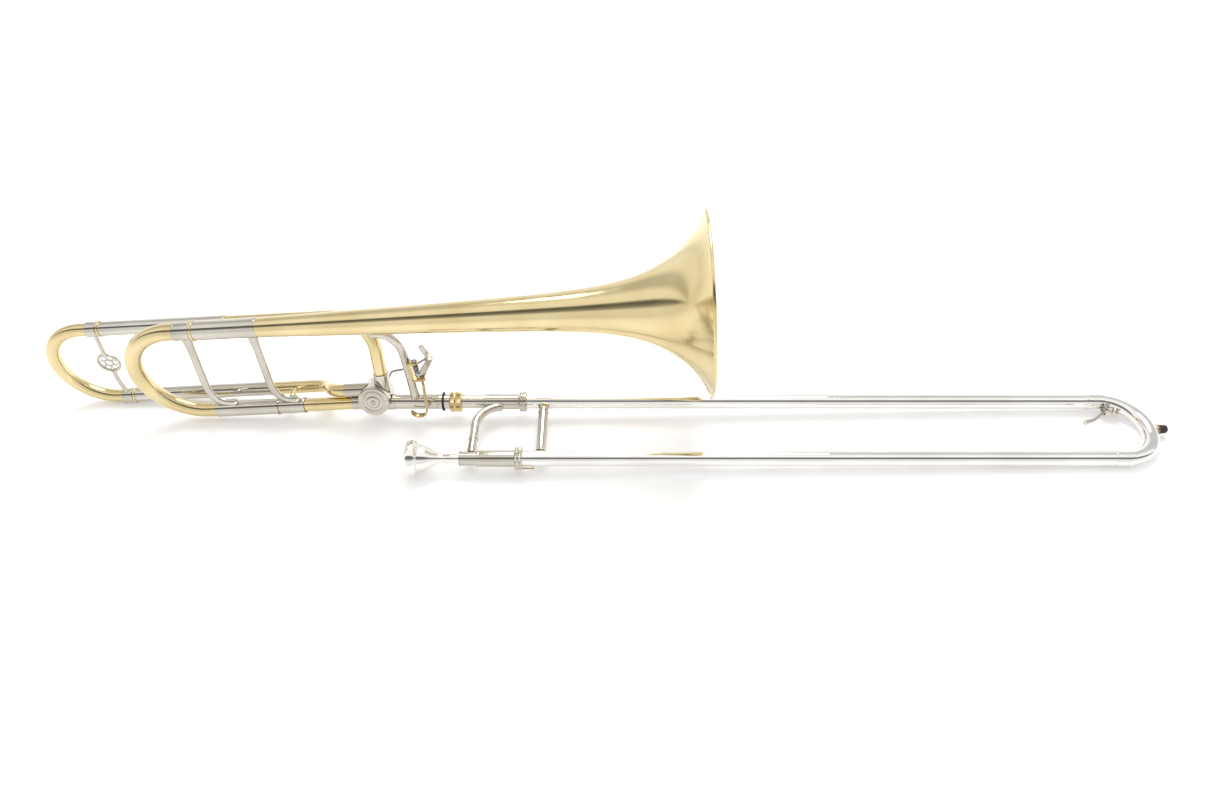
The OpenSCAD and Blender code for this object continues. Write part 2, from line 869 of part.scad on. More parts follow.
module upper_inner_tube() {
    color(chrome) lay() inner_tube(bow_x - 18);
}

module lower_inner_tube() {
    color(chrome) lower_line() inner_tube(bow_x - 18);
}

module leadpipe() {
    color(brass)
    lower_line()
    difference() {
        rod_x(barrel_x + 1, 190, slide_bore - 0.1);
        turned_x([[barrel_x, 0], [barrel_x, 6.1], [60, 5.6], [191, 6.7], [191, 0]]);
    }
}

module mouthpiece_receiver() {
    color(nickel)
    lower_line()
    difference() {
        union() {
            rod_x(receiver_x, barrel_x, receiver_d);
            rod_x(receiver_x, receiver_x + 2, receiver_d + 0.8);
        }
        turned_x([[0, 0], [0, 5.25], [receiver_x, 5.15], [barrel_x + 1, 4.95], [barrel_x + 1, 0]]);
    }
}

// A cork barrel is tight on the inner tube behind and open for the outer tube in front.
module cork_barrel(end_x) {
    difference() {
        rod_x(barrel_x, end_x, barrel_d);
        rod_x(barrel_x - 1, end_x + 1, inner_tube_d + 0.04);
        rod_x(felt_x, end_x + 1, barrel_bore);
    }
}

module upper_cork_barrel() {
    color(nickel)
    lay() {
        cork_barrel(barrel_end_x + 8.8);
        difference() {
            translate([barrel_end_x, 0, 0])
            turned_x([[0, 0], [0, 9.4], [1.2, 11.2], [3, 11.5], [4.2, 10.2], [5.4, 11.2], [7.4, 11.2],
                      [8.8, 9.8], [8.8, 0]]);
            rod_x(barrel_end_x - 1, barrel_end_x + 10, barrel_d - 0.1);
        }
    }
}

module lower_cork_barrel() {
    color(nickel) lower_line() cork_barrel(barrel_end_x + 9);
}

module barrel_felts() {
    color(black) {
        lay() tube_x(felt_x + 0.05, felt_x + felt_l, barrel_bore - 0.1, inner_tube_d + 0.3);
        lower_line() tube_x(felt_x + 0.05, felt_x + felt_l, barrel_bore - 0.1, inner_tube_d + 0.3);
    }
}

module inner_slide_brace() {
    color(nickel)
    lay()
    difference() {
        union() {
            translate([inner_brace_x, 0, 0]) slide_brace_shape();
            translate([inner_brace_x, -slide_spacing + 27, 0])
            rotate([90, 0, 0])
            cylinder(h = 1.6, d = inner_brace_d + 0.9);
        }
        rod_x(barrel_x, 80, barrel_d + 0.04);
        rod_x(0, barrel_x, tenon_d + 0.3);
        translate([0, -slide_spacing, 0]) rod_x(receiver_x - 1, barrel_x, receiver_d + 0.04);
        translate([0, -slide_spacing, 0]) rod_x(barrel_x, 40, barrel_d + 0.04);
    }
}

// In the slide plane: straight from the lower tube, then a bend that lies along the upper barrel.
module slide_brace_shape() {
    bend_y = -barrel_d / 2 + 0.6 - inner_brace_bend;
    translate([0, bend_y, 0])
    rotate([90, 0, 0])
    cylinder(h = slide_spacing + bend_y - receiver_d / 2 + 1, d = inner_brace_d);
    translate([inner_brace_bend, bend_y, 0])
    rotate([0, 0, 90])
    rotate_extrude(angle = 90)
    translate([inner_brace_bend, 0])
    circle(d = inner_brace_d);
}

// A ring that turns on the lower barrel and hooks the outer slide with its tab.
module slide_lock_ring() {
    x0 = barrel_end_x + 0.6;
    color(nickel)
    lower_line()
    difference() {
        union() {
            translate([x0, 0, 0])
            turned_x([[0, 0], [0, 10], [1.2, 11.8], [3, 12], [4, 10.8], [5, 11.8], [7, 11.8], [8.4, 10.4],
                      [8.4, 0]]);
            rotate([135, 0, 0]) translate([x0 + 6, -1.7, 9.2]) cube([14, 3.4, 1.6]);
        }
        rod_x(x0 - 1, x0 + 22, barrel_d + 2 * fit);
    }
}

// ---- Outer slide ----

module upper_outer_tube() {
    color(chrome) lay() tube_x(outer_start_x, bow_x - 2, outer_tube_d, outer_tube_bore);
}

module lower_outer_tube() {
    color(chrome) lower_line() tube_x(outer_start_x, bow_x - 2, outer_tube_d, outer_tube_bore);
}

// The bow's ferrules grip the ends of the outer tubes.
module slide_bow() {
    ferrule_d = outer_tube_d + 1;
    color(chrome)
    lay() {
        difference() {
            union() {
                bow_arc(180, outer_tube_d, slide_bore);
                translate([bow_x + bow_r + outer_tube_d / 2 - 0.6, -bow_r, 0]) rod_x(-0.8, 1.6, 11);
                bow_polar(key_seat_angle, key_inner_r - 1.6)
                rotate([90, 0, 0])
                cylinder(h = 4, r = 3.2, center = true);
            }
            bow_polar(key_seat_angle, key_inner_r - 1.6)
            rotate([90, 0, 0])
            cylinder(h = 12, r = 1.8, center = true);
        }
        for (y = [0, -slide_spacing])
            translate([0, y, 0]) tube_x(bow_x - 10.5, bow_x - eps, ferrule_d, outer_tube_d + 0.04);
    }
}

// An arc of the bow, from the lower tube round towards the upper one.
module bow_arc(angle, d, bore) {
    translate([bow_x, -slide_spacing, 0]) rotate([-90, 0, 0]) bend_up(bow_r, angle, d, bore);
}

// A place inside the bow: y points outwards, from the bow's centre.
module bow_polar(angle, r) {
    translate([bow_x, -bow_r, 0]) rotate([0, 0, -angle]) translate([0, r, 0]) children();
}

module hand_brace() {
    sleeve_l = 15;
    color(nickel)
    lay()
    difference() {
        union() {
            translate([hand_brace_x, -3, 0]) rotate([90, 0, 0]) cylinder(h = 14, d = hand_brace_d - 1);
            translate([hand_brace_x, -16, 0])
            rotate([90, 0, 0])
            cylinder(h = slide_spacing - 19, d = hand_brace_d);
            translate([hand_brace_x, -15, 0]) rotate([90, 0, 0]) cylinder(h = 1.4, d = hand_brace_d + 1.2);
            for (y = [0, -slide_spacing])
                translate([hand_brace_x - sleeve_l / 2, y, 0]) rod_x(0, sleeve_l, outer_tube_d + 1.4);
        }
        for (y = [0, -slide_spacing])
            translate([0, y, 0]) rod_x(hand_brace_x - 20, hand_brace_x + 20, outer_tube_d + 0.04);
    }
}

module bow_bumper() {
    base_x = bow_x + bow_r + outer_tube_d / 2 + 1.05;
    color(black)
    lay()
    translate([base_x, -bow_r, 0])
    turned_x([[0, 0], [0, 4.9], [1.2, 4.9], [1.6, 4.6], [9.4, 4.4], [10.6, 3.2], [10.6, 0]]);
}

// Two ears with the axle that carries the water key.
module water_key_mount() {
    color(nickel)
    lay()
    difference() {
        union() {
            for (side = [-1, 1])
                translate([0, 0, side * 5.2]) {
                    translate([key_pivot[0], key_pivot[1], -0.8]) cylinder(h = 1.6, r = 2.6);
                    bow_polar(key_pivot_angle, key_inner_r - 2) cube([5.2, 5.4, 1.6], center = true);
                }
            translate([key_pivot[0], key_pivot[1], -6.6]) cylinder(h = 13.2, r = 1.1);
        }
        bow_arc(180, outer_tube_d + 0.04, 0);
    }
}

module water_key_spring() {
    color(steel)
    lay()
    for (side = [-1, 1])
        for (i = [0 : 1])
            translate([key_pivot[0], key_pivot[1], side * (3.1 + 0.85 * i)])
            rotate_extrude()
            translate([1.9, 0])
            circle(r = 0.4, $fn = 16);
}

// Lever, cup and cork pad. The pad closes the drain hole on the inside of the bow.
module water_key_lever() {
    pad_r = key_inner_r - 1.6 - 2 - 0.05;
    neck = [bow_x + (pad_r - 3) * sin(key_seat_angle), (pad_r - 3) * cos(key_seat_angle) - bow_r, 0];
    knee = [bow_x - 6.5, -26, 0];
    tip = [bow_x - 14.5, -33, 0];
    color(nickel)
    lay()
    difference() {
        union() {
            bow_polar(key_seat_angle, pad_r)
            rotate([90, 0, 0])
            rotate_extrude()
            polygon([[0, 0], [2.9, 0], [2.9, 1.4], [3.5, 1.4], [3.5, 3.6], [2.4, 4.4], [0, 4.4]]);
            translate([key_pivot[0], key_pivot[1], -2.4]) cylinder(h = 4.8, r = 2.4);
            rod(neck, [key_pivot[0], key_pivot[1] - 1, 0], 1.2);
            rod([key_pivot[0], key_pivot[1] - 1, 0], knee, 1.3);
            rod(knee, tip, 2.1);
        }
        translate([key_pivot[0], key_pivot[1], -10]) cylinder(h = 20, r = 1.1 + fit);
    }
}

// ---- Mouthpiece ----

module mouthpiece() {
    rim_x = receiver_x - 53.5;
    rim_r = rim_d / 2;
    cup_r = cup_d / 2;
    end_x = rim_x + mouthpiece_l;
    color(silver)
    lower_line()
    turned_x([
        [rim_x + 1.4, cup_r], [rim_x + 0.3, cup_r + 1.6], [rim_x, cup_r + 3], [rim_x + 0.6, rim_r - 1.6],
        [rim_x + 2.6, rim_r - 0.2], [rim_x + 5, rim_r], [rim_x + 9, rim_r - 0.6], [rim_x + 11.2, rim_r - 2.6],
        [rim_x + 12, 14.6], [rim_x + 17, 13.6], [rim_x + 22, 11.4], [rim_x + 27, 8.2], [rim_x + 31.5, 5.6],
        [rim_x + 35, 4.5], [rim_x + 37, 4.4], [rim_x + 39, 4.9], [receiver_x, 5.0], [end_x, 4.75],
        [end_x, 3.9], [rim_x + 40, 3.1], [rim_x + 27, 3.1], [rim_x + 22.5, 4.4], [rim_x + 17, 8.6],
        [rim_x + 10, 11.6], [rim_x + 4, cup_r - 0.4],
    ]);
}

bell();
bell_rim_wire();
bell_tail_ferrule();
upper_outer_leg();
leg_end_rings();
lower_inner_leg();
lower_leg_ferrule();
lower_leg_tube();
fixed_tuning_brace();
valve_casing();
valve_cap();
valve_bearing_plate();
stop_plate();
stop_bumpers();
valve_knuckles();
gooseneck();
bell_receiver();
receiver_o_ring();
front_bell_brace();
lever_saddle();
lever_axle();
lever_spring();
f_upper_tube();
f_upper_outer_leg();
f_lower_outer_leg();
f_lower_tube();
f_loop_stay();
main_crook();
crook_ferrule();
upper_inner_leg();
lower_outer_leg();
sliding_tuning_brace();
f_crook();
f_crook_ferrules();
f_inner_legs();
f_slide_brace();
rotor();
stop_arm();
thumb_lever();
linkage_rod();
lock_nut();
slide_tenon();
upper_inner_tube();
lower_inner_tube();
leadpipe();
mouthpiece_receiver();
upper_cork_barrel();
lower_cork_barrel();
barrel_felts();
inner_slide_brace();
slide_lock_ring();
upper_outer_tube();
lower_outer_tube();
slide_bow();
hand_brace();
bow_bumper();
water_key_mount();
water_key_spring();
water_key_lever();
mouthpiece();
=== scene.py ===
import json
import math

import bmesh
import bpy
from mathutils import Matrix, Vector


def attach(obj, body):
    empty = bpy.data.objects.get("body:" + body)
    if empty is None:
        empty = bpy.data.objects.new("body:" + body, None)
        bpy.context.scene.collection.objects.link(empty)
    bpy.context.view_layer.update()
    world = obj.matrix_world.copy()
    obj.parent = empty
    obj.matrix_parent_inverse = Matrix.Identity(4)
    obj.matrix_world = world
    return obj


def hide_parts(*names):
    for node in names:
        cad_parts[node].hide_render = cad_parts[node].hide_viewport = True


# ---- Frames: every drawing below is in millimetres, in one of these frames ----

ROTOR_HEIGHT = 7.7
NUT_HALF = 7
MM = 0.001

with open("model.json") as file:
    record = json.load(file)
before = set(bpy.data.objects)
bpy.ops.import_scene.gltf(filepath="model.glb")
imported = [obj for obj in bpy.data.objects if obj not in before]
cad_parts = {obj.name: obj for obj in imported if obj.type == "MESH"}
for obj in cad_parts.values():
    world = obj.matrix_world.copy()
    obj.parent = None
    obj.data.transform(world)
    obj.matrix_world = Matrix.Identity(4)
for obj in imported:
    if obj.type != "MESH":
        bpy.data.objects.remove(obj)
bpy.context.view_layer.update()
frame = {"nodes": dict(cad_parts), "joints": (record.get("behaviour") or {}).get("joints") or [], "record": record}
joints = {joint["name"]: joint for joint in frame["joints"]}


def axis_of(name):
    return Vector(joints[name]["axis"])


def place_of(name):
    return Vector(joints[name]["pos_m"])


def local_frame(origin, along, across):
    """A frame with x along one direction and y as near as possible to another; it turns mm into m."""
    x = along.normalized()
    z = x.cross(across).normalized()
    y = z.cross(x)
    rotation = Matrix((x, y, z)).transposed().to_4x4()
    return Matrix.Translation(origin) @ rotation @ Matrix.Scale(MM, 4)


# SLIDE: from the front face of the lock nut, x forward, y from the lower slide tube to the upper one.
# TAIL: from a point under the rotor, on the line of the lower tuning leg, x forward, z towards the
# bell's axis.
# VALVE: the same origin, leaned about x so that z points at the upper F leg.
slide_x = axis_of("hand_slide")
slide_y = slide_x.cross(axis_of("water_key_press"))
SLIDE = local_frame(place_of("lock_nut_turn"), slide_x, slide_y) @ Matrix.Translation((NUT_HALF, 0, 0))

tail_x = -axis_of("main_tuning_pull")
tail_y = axis_of("thumb_lever_press").cross(tail_x)
VALVE = local_frame(place_of("rotor_turn"), tail_x, -axis_of("rotor_turn"))
VALVE = VALVE @ Matrix.Translation((0, 0, -ROTOR_HEIGHT))
TAIL = local_frame(VALVE.to_translation(), tail_x, tail_y)

# Drawing planes: (u, v) lie in the named plane and w points out of it.
XY = Matrix.Identity(4)
XZ = Matrix(((1, 0, 0, 0), (0, 0, 1, 0), (0, 1, 0, 0), (0, 0, 0, 1)))
YZ = Matrix(((0, 0, 1, 0), (1, 0, 0, 0), (0, 1, 0, 0), (0, 0, 0, 1)))

# Turns for lathe work, which is drawn along x.
ALONG_Y = Matrix.Rotation(math.pi / 2, 4, "Z")
ALONG_Z = Matrix.Rotation(-math.pi / 2, 4, "Y")


def at(x, y, z):
    """A place in one of the frames above, as a matrix."""
    return Matrix.Translation((x, y, z))


# ---- Sizes, in millimetres ----

SPACING = 82  # between the two slide tubes
TUBE_R = 7.9  # outer slide tubes
BOW_X = 689  # where the slide's bend starts
BOW_R = SPACING / 2
BELL_FRONT = 357.3  # x of the bell's front edge
BELL_L = 451.5
BELL_TAIL_R = 10
BELL_TAPER = 0.0279
BELL_WALL = 0.6
FLARE_L = 39.3  # the flare shrinks by e over this length
BEAD_R = 1.8  # the rolled rim
RIM_R = 187.3 / 2 - BEAD_R
FLARE_RISE = RIM_R + 0.8 - BELL_TAIL_R - BELL_TAPER * BELL_L
LEG_GAP = 112.8  # between the main tuning legs
MAIN_BEND_X = -186.6
F_DEPTH = 30  # how far the F loop stands behind the bell section's plane
F_LOW = -0.7
F_GAP = 97.9  # between the F legs
F_HIGH = F_LOW + F_GAP
F_BEND_X = -299
VALVE_LEAN = math.atan2(F_DEPTH, F_HIGH)
AXLE = (53, -2)  # x and y of the thumb lever's axle
HUB_Z = 36
LEVER_ARM = 24  # from the axle to the linkage pin
HALF_THROW = math.radians(16)

BELL_AXIS = at(0, 0, LEG_GAP)
F_UPPER_AXIS = at(0, F_DEPTH, F_HIGH)
F_LOWER_AXIS = at(0, F_DEPTH, F_LOW)
LOWER = at(0, -SPACING, 0)


# ---- Materials ----

def linear(r, g, b):
    """An sRGB colour, 0 to 255, as scene-linear RGBA."""
    values = [c / 255 for c in (r, g, b)]
    return tuple(c / 12.92 if c <= 0.04045 else ((c + 0.055) / 1.055) ** 2.4 for c in values) + (1,)


def surface(name, light, dark, metallic, roughness, grain, bump, coat=0.0, stretch=(1, 1, 1)):
    """A material whose colour, roughness and relief vary with three sizes of noise."""
    material = bpy.data.materials.new(name)
    material.use_nodes = True
    nodes = material.node_tree.nodes
    links = material.node_tree.links
    shader = nodes["Principled BSDF"]
    shader.inputs["Metallic"].default_value = metallic
    shader.inputs["Coat Weight"].default_value = coat
    shader.inputs["Coat Roughness"].default_value = 0.06
    place = nodes.new("ShaderNodeTexCoord")
    scale = nodes.new("ShaderNodeMapping")
    scale.inputs["Scale"].default_value = stretch
    links.new(place.outputs["Object"], scale.inputs["Vector"])

    def noise(size, detail):
        node = nodes.new("ShaderNodeTexNoise")
        node.inputs["Scale"].default_value = size
        node.inputs["Detail"].default_value = detail
        links.new(scale.outputs["Vector"], node.inputs["Vector"])
        return node.outputs["Fac"]

    colour = nodes.new("ShaderNodeValToRGB")
    colour.color_ramp.elements[0].position = 0.3
    colour.color_ramp.elements[0].color = dark
    colour.color_ramp.elements[1].position = 0.62
    colour.color_ramp.elements[1].color = light
    links.new(noise(18, 6), colour.inputs["Fac"])
    links.new(colour.outputs["Color"], shader.inputs["Base Color"])

    polish = nodes.new("ShaderNodeMapRange")
    polish.inputs["From Min"].default_value = 0.3
    polish.inputs["From Max"].default_value = 0.7
    polish.inputs["To Min"].default_value = roughness[0]
    polish.inputs["To Max"].default_value = roughness[1]
    links.new(noise(70, 8), polish.inputs["Value"])
    links.new(polish.outputs["Result"], shader.inputs["Roughness"])

    relief = nodes.new("ShaderNodeBump")
    relief.inputs["Strength"].default_value = bump
    relief.inputs["Distance"].default_value = 0.0002
    links.new(noise(grain, 4), relief.inputs["Height"])
    links.new(relief.outputs["Normal"], shader.inputs["Normal"])
    return material


BRASS = surface("lacquered brass", linear(229, 211, 164), linear(214, 194, 142), metallic=1,
                roughness=(0.1, 0.17), grain=900, bump=0.05, coat=0.25)
RAW_BRASS = surface("raw brass", linear(216, 194, 148), linear(184, 162, 114), metallic=1,
                    roughness=(0.18, 0.34), grain=1500, bump=0.12)
COPPER = surface("copper", linear(206, 140, 108), linear(170, 104, 76), metallic=1,
                 roughness=(0.2, 0.34), grain=1500, bump=0.1)
NICKEL = surface("nickel silver", linear(210, 205, 194), linear(190, 184, 172), metallic=1,
                 roughness=(0.04, 0.1), grain=1200, bump=0.04)
CHROME = surface("chrome plate", linear(243, 241, 237), linear(232, 229, 224), metallic=1,
                 roughness=(0.03, 0.08), grain=900, bump=0.02)
SILVER = surface("silver plate", linear(250, 249, 246), linear(236, 233, 226), metallic=1,
                 roughness=(0.05, 0.12), grain=900, bump=0.03)
STEEL = surface("ground steel", linear(180, 180, 182), linear(140, 140, 144), metallic=1,
                roughness=(0.2, 0.36), grain=2200, bump=0.14, stretch=(1, 6, 1))
RUBBER = surface("black rubber", linear(46, 45, 46), linear(28, 27, 28), metallic=0,
                 roughness=(0.55, 0.75), grain=3000, bump=0.3)
FELT = surface("felt", linear(60, 58, 62), linear(36, 34, 38), metallic=0,
               roughness=(0.9, 1.0), grain=6000, bump=0.9)

SLOT_MATERIALS = {
    "lacquered_brass": BRASS, "bare_brass": RAW_BRASS, "nickel_silver": NICKEL, "chrome_plate": CHROME,
    "silver_plate": SILVER, "steel": STEEL, "black_rubber": RUBBER, "felt": FELT,
}


# ---- Mesh tools ----

def rounded(points, radius, steps=4):
    """A closed outline with its corners rounded."""
    result = []
    for i, corner in enumerate(points):
        corner = Vector(corner)
        before = Vector(points[i - 1]) - corner
        after = Vector(points[(i + 1) % len(points)]) - corner
        cut = min(radius, before.length * 0.45, after.length * 0.45)
        start = corner + before.normalized() * cut
        end = corner + after.normalized() * cut
        for k in range(steps + 1):
            t = k / steps
            result.append(start * (1 - t) ** 2 + corner * 2 * t * (1 - t) + end * t * t)
    return result


def smooth_line(points, density=8):
    """A Catmull-Rom curve through points of any dimension."""
    points = [Vector(p) for p in points]
    ends = [points[0] * 2 - points[1]] + points + [points[-1] * 2 - points[-2]]
    result = []
    for a, b, c, d in zip(ends, ends[1:], ends[2:], ends[3:]):
        for k in range(density):
            t = k / density
            result.append((b * 2 + (c - a) * t + (a * 2 - b * 5 + c * 4 - d) * t ** 2
                           + (b * 3 - a - c * 3 + d) * t ** 3) / 2)
    return result + [points[-1]]


def arc(centre, radius, start, end, plane=XZ, steps=64):
    """Points on a circle in a drawing plane; angles in degrees, from u towards v."""
    result = []
    for k in range(steps + 1):
        angle = math.radians(start + (end - start) * k / steps)
        offset = Vector((radius * math.cos(angle), radius * math.sin(angle), 0))
        result.append(Vector(centre) + plane @ offset)
    return result


def lathe(profile, turns=96, ridge=0.0, ridge_from=1e9):
    """Turns a closed (x, radius) outline about x. Radii above ridge_from get knurled ridges."""
    verts = []
    for x, r in profile:
        for k in range(turns):
            angle = 2 * math.pi * k / turns
            depth = ridge if r > ridge_from and k % 2 else 0
            verts.append((x, (r - depth) * math.cos(angle), (r - depth) * math.sin(angle)))
    faces = []
    rows = len(profile)
    for i in range(rows):
        for k in range(turns):
            a, b = i * turns, (i + 1) % rows * turns
            faces.append((a + k, b + k, b + (k + 1) % turns, a + (k + 1) % turns))
    return verts, faces


def sweep(path, size, turns=32, closed=False, hint=(0, 1, 0.01)):
    """Moves an oval along a path. size(t) gives its half widths across and along hint."""
    path = [Vector(p) for p in path]
    count = len(path)
    side = Vector(hint)
    verts = []
    for i, point in enumerate(path):
        if closed:
            step = path[(i + 1) % count] - path[i - 1]
        else:
            step = path[min(i + 1, count - 1)] - path[max(i - 1, 0)]
        step.normalize()
        side = (side - step * side.dot(step)).normalized()
        other = step.cross(side)
        across, along = size(i / (count - 1))
        for k in range(turns):
            angle = 2 * math.pi * k / turns
            verts.append(point + other * across * math.cos(angle) + side * along * math.sin(angle))
    faces = []
    for i in range(count if closed else count - 1):
        for k in range(turns):
            a, b = i * turns, (i + 1) % count * turns
            faces.append((a + k, b + k, b + (k + 1) % turns, a + (k + 1) % turns))
    if not closed:
        faces += [tuple(range(turns)), tuple(range((count - 1) * turns, count * turns))]
    return verts, faces


def round_wire(r):
    """The size of a round wire or tube, for sweep."""
    return lambda t: (r, r)


def strut(across, along, flare=1.25, reach=0.08):
    """An oval bar that widens where it is soldered on."""
    def size(t):
        end = min(t, 1 - t) / reach
        grow = 1 + (flare - 1) * math.exp(-end * end)
        return across * grow, along * grow
    return size


def plate(outline, low, high, bevel=0.35):
    """A flat plate with softened edges, drawn in (u, v) and reaching from low to high in w."""
    points = [Vector(p) for p in outline]
    inner = []
    for i, p in enumerate(points):
        a = (p - points[i - 1]).normalized()
        b = (points[(i + 1) % len(points)] - p).normalized()
        normal = Vector((-(a.y + b.y), a.x + b.x))
        inner.append(p + normal.normalized() * bevel)
    rings = [(inner, low), (points, low + bevel), (points, high - bevel), (inner, high)]
    verts = [(p.x, p.y, w) for ring, w in rings for p in ring]
    n = len(points)
    faces = [(i * n + k, i * n + (k + 1) % n, (i + 1) * n + (k + 1) % n, (i + 1) * n + k)
             for i in range(3) for k in range(n)]
    return verts, faces + [tuple(range(n)), tuple(range(3 * n, 4 * n))]


def stadium(a, b, r, steps=12):
    """A rounded bar round two points of a drawing plane, anticlockwise."""
    a, b = Vector(a), Vector(b)
    heading = math.atan2(b.y - a.y, b.x - a.x)
    result = []
    for centre, first in ((b, heading - math.pi / 2), (a, heading + math.pi / 2)):
        for k in range(steps + 1):
            angle = first + math.pi * k / steps
            result.append(centre + Vector((math.cos(angle), math.sin(angle))) * r)
    return result


def helix(r, pitch, turns, steps=24):
    """Points of a coil round z, rising by pitch in each turn."""
    result = []
    for k in range(int(turns * steps) + 1):
        angle = 2 * math.pi * k / steps
        result.append((r * math.cos(angle), r * math.sin(angle), pitch * k / steps))
    return result


class Piece:
    """One visual piece: shapes gathered in one frame, each with its own material."""

    def __init__(self, origin):
        self.origin = origin
        self.verts = []
        self.faces = []
        self.paint = []

    def add(self, shape, material, place=Matrix.Identity(4)):
        verts, faces = shape
        base = len(self.verts)
        self.verts += [self.origin @ (place @ Vector(v)) for v in verts]
        self.faces += [tuple(base + i for i in face) for face in faces]
        self.paint += [material] * len(faces)
        return self

    def done(self, name, body, slot, *nodes):
        mesh = bpy.data.meshes.new(name)
        mesh.from_pydata(self.verts, [], self.faces)
        materials = list(dict.fromkeys(self.paint))
        for material in materials:
            mesh.materials.append(material)
        for polygon, material in zip(mesh.polygons, self.paint):
            polygon.material_index = materials.index(material)
        tidy = bmesh.new()
        tidy.from_mesh(mesh)
        bmesh.ops.remove_doubles(tidy, verts=tidy.verts, dist=2e-6)
        bmesh.ops.dissolve_degenerate(tidy, edges=tidy.edges, dist=1e-6)
        bmesh.ops.recalc_face_normals(tidy, faces=tidy.faces)
        tidy.to_mesh(mesh)
        tidy.free()
        mesh.shade_smooth()
        mesh.set_sharp_from_angle(angle=math.radians(38))
        piece = bpy.data.objects.new(name, mesh)
        bpy.context.scene.collection.objects.link(piece)
        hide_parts(*nodes)
        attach(piece, body)


def sleeve(x0, x1, r, bore, beads=(), bead=0):
    """A thin ferrule with rounded ends and raised beads at the given stations."""
    outline = [(x0, bore), (x0, r)]
    shoulder = r + bead * 0.8
    for x in beads:
        outline += [(x - 1.1, r), (x - 0.6, shoulder), (x, r + bead), (x + 0.6, shoulder), (x + 1.1, r)]
    outline += [(x1, r), (x1, bore)]
    return lathe(rounded(outline, 0.35, 3))


# ---- Bell ----

def bell_r(s):
    """The bell's outer radius at a distance s behind its front edge."""
    return BELL_TAIL_R + BELL_TAPER * (BELL_L - s) + FLARE_RISE * math.exp(-s / FLARE_L)


def bell_wall(s):
    """The wall's thickness measured along the radius, which grows with the flare's slope."""
    slope = BELL_TAPER + FLARE_RISE / FLARE_L * math.exp(-s / FLARE_L)
    return BELL_WALL * math.hypot(1, slope)


def bell_profile(steps=110):
    """The closed outline of the bell: up the inside, round the rolled rim and back down the outside."""
    stations = [(BELL_L + 4) * (k / steps) ** 1.7 for k in range(steps + 1)]
    inside = [(BELL_FRONT - s, bell_r(s) - bell_wall(s)) for s in reversed(stations) if s > 0.6]
    outside = [(BELL_FRONT - s, bell_r(s)) for s in stations if s > 1.5]
    bead = [(BELL_FRONT - BEAD_R / 2 + BEAD_R * math.cos(angle), RIM_R + BEAD_R * math.sin(angle))
            for angle in map(math.radians, range(-60, 216, 15))]
    return inside + bead + outside


(Piece(TAIL)
    .add(lathe(bell_profile(), 192), BRASS, BELL_AXIS)
    .done("bell_flare", "bell_section", "lacquered_brass", "bell"))
(Piece(TAIL)
    .add(sleeve(-113.2, -94.2, 10.35, 10.0, (-95.8,), 0.2), NICKEL, BELL_AXIS)
    .done("bell_tail_sleeve", "bell_section", "nickel_silver", "bell_tail_ferrule"))

# ---- Main tuning slide ----

main_middle = (MAIN_BEND_X, 0, LEG_GAP / 2)
crook_bend = arc(main_middle, LEG_GAP / 2, 90, 270, steps=96)
crook_line = [(-177.6, 0, LEG_GAP)] + crook_bend + [(-178.6, 0, 0)]


def crook_size(t):
    """The crook narrows from the bell's end to the valve's end."""
    r = 8.85 - 1.15 * t
    return r, r


(Piece(TAIL)
    .add(sweep(crook_line, crook_size, 64), BRASS)
    .done("main_crook_bend", "main_tuning_slide", "lacquered_brass", "main_crook"))
(Piece(TAIL)
    .add(sleeve(-180.3, -162.5, 9.3, 8.9, (-178.9,), 0.25), NICKEL, BELL_AXIS)
    .done("crook_sleeve", "main_tuning_slide", "nickel_silver", "crook_ferrule"))


def ring_at(x, leg_r):
    """The thin ring that stiffens the open end of a slide leg."""
    low, high = leg_r + 0.02, leg_r + 0.9
    return lathe(rounded([(x - 0.4, low), (x - 0.4, high), (x + 1.8, high), (x + 1.8, low)], 0.7, 6))


(Piece(TAIL)
    .add(ring_at(-160.5, 9.95), BRASS, BELL_AXIS)
    .add(ring_at(-277.8, 7.7), BRASS, F_UPPER_AXIS)
    .add(ring_at(-282.8, 7.7), BRASS, F_LOWER_AXIS)
    .done("leg_rings", "bell_section", "lacquered_brass", "leg_end_rings"))
(Piece(TAIL)
    .add(sleeve(-107.8, -79.8, 8.3, 7.8, (-81.4,), 0.3), NICKEL)
    .done("lower_leg_sleeve", "bell_section", "nickel_silver", "lower_leg_ferrule"))

sliding_line = smooth_line([(-171.5, 0, 104), (-173.6, 0, 80), (-176.6, 0, 50), (-178, 0, 32),
                            (-175.5, 0, 18), (-167, 0, 10.5), (-155, 0, 8.6)])
fixed_line = smooth_line([(-103.6, 0, 103), (-105, 0, 80), (-107.2, 0, 50), (-108.2, 0, 32),
                          (-105.5, 0, 18), (-97, 0, 10.8), (-86, 0, 9)])
(Piece(TAIL)
    .add(sweep(sliding_line, strut(4.2, 3.3)), NICKEL)
    .done("sliding_brace_bar", "main_tuning_slide", "nickel_silver", "sliding_tuning_brace"))
(Piece(TAIL)
    .add(sweep(fixed_line, strut(4.2, 3.3)), NICKEL)
    .done("fixed_brace_bar", "bell_section", "nickel_silver", "fixed_tuning_brace"))

# ---- F attachment ----

